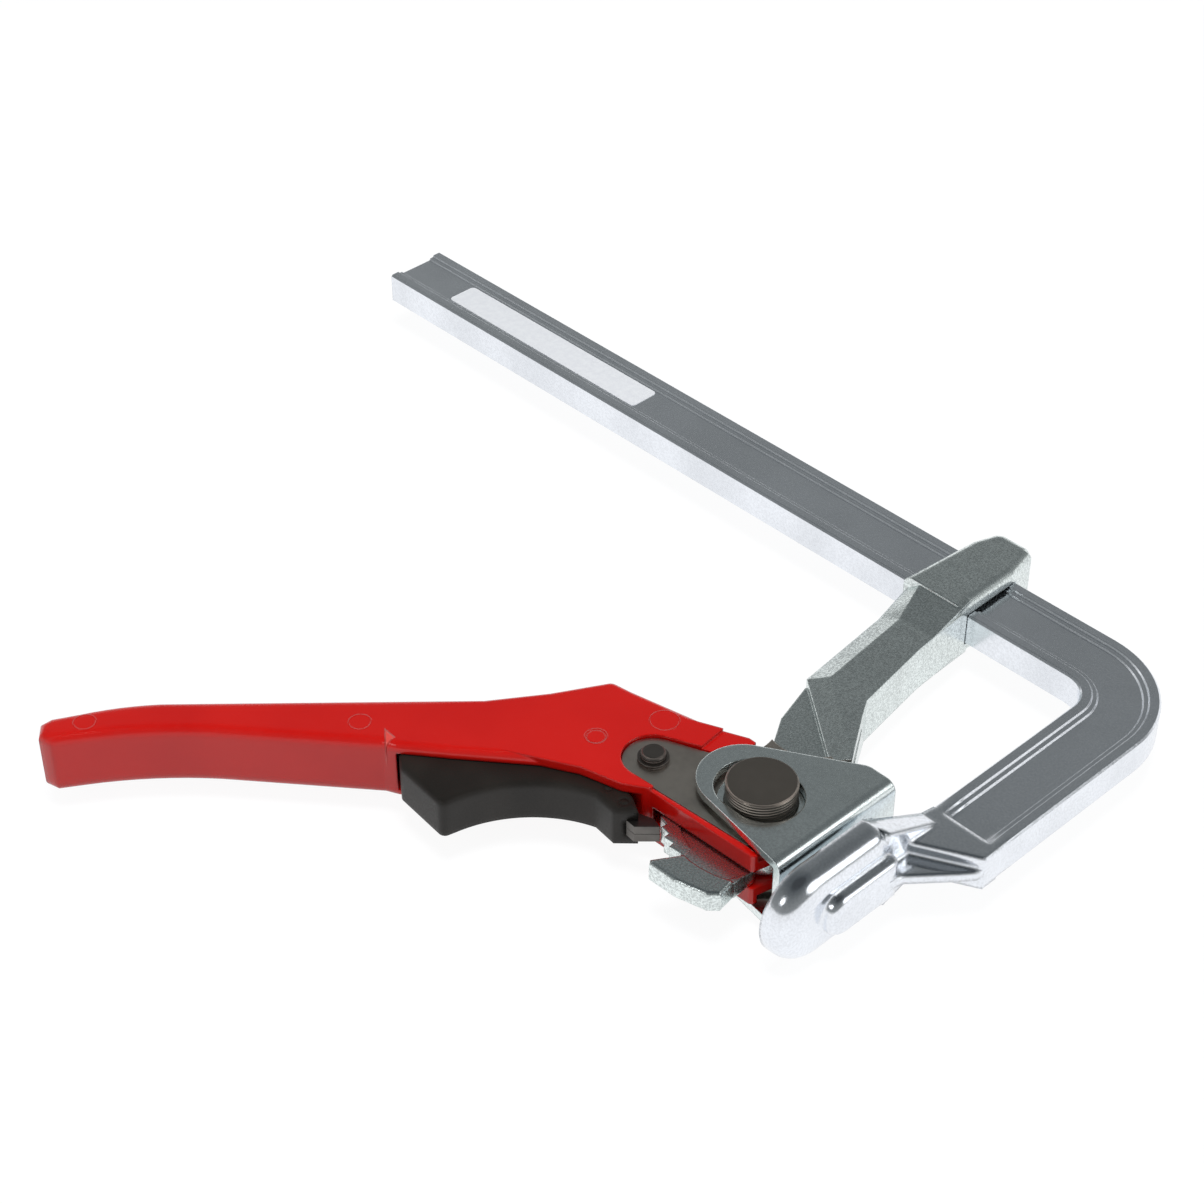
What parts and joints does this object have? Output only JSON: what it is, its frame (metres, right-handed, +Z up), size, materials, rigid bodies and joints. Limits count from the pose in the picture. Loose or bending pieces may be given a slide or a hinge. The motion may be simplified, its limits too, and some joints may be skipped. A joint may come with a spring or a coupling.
{
  "type": "quick release bar clamp",
  "caption": "Forged bar clamp: fixed jaw and rail in one, sliding arm with a red cam lever, ratchet, trigger and a pressure bracket.",
  "frame": {"origin": "centre of the fixed jaw's clamping face", "axes": "+X is the opening direction, from the fixed jaw toward the rail's far end; +Y runs from the rail toward the jaw tips; +Z is up with the clamp lying flat on its side"},
  "size_m": [0.3205, 0.255, 0.0326],
  "materials": {
    "zinc_plated_forging": "bright zinc plate on drop-forged steel",
    "zinc_plated_sheet": "bright zinc plate on pressed steel sheet",
    "dark_steel": "hardened, dark and oiled",
    "spring_steel": "bright drawn wire",
    "red_casting": "glossy red powder coat on a die casting",
    "black_plastic": "matt black glass-filled nylon",
    "label_film": "blank white film"
  },
  "bodies": {
    "rail": {"rail_and_fixed_jaw": "zinc_plated_forging", "rail_label": "label_film"},
    "arm": {"sliding_arm": "zinc_plated_forging", "pivot_pin": "dark_steel"},
    "lever": {"lever_handle": "red_casting", "pivot_washer_top": "dark_steel", "pivot_washer_bottom": "dark_steel", "cam_plate_top": "dark_steel", "cam_plate_bottom": "dark_steel", "cam_rivet": "dark_steel", "rivet_collar_top": "dark_steel", "rivet_collar_bottom": "dark_steel", "trigger_pin": "dark_steel", "trigger_spring": "spring_steel"},
    "bracket": {"pressure_bracket": "zinc_plated_sheet"},
    "trigger_unit": {"trigger": "black_plastic", "pawl_plate_top": "dark_steel", "pawl_plate_bottom": "dark_steel", "pawl_rivet_front": "dark_steel", "pawl_rivet_rear": "dark_steel"}
  },
  "joints": [
    {"name": "arm_slide", "type": "slide", "parent": "rail", "child": "arm", "axis": [1, 0, 0], "range_m": [0, 0.196]},
    {"name": "lever_swing", "type": "hinge", "parent": "arm", "child": "lever", "pos_m": [0.0254, 0, 0], "axis": [0, 0, 1], "range_deg": [-35, 20]},
    {"name": "bracket_push", "type": "slide", "parent": "arm", "child": "bracket", "axis": [1, 0, 0], "range_m": [-0.0031, 0.0018]},
    {"name": "trigger_pull", "type": "hinge", "parent": "lever", "child": "trigger_unit", "pos_m": [0.0727, 0.0138, 0], "axis": [0, 0, 1], "range_deg": [-6, 0], "stiffness_Nm_per_rad": 0.6, "springref_deg": 11.46, "deforming": ["trigger_spring"]}
  ],
  "couplings": [
    {"joint": "bracket_push", "follows": "lever_swing", "m_per_rad": 0.005}
  ]
}
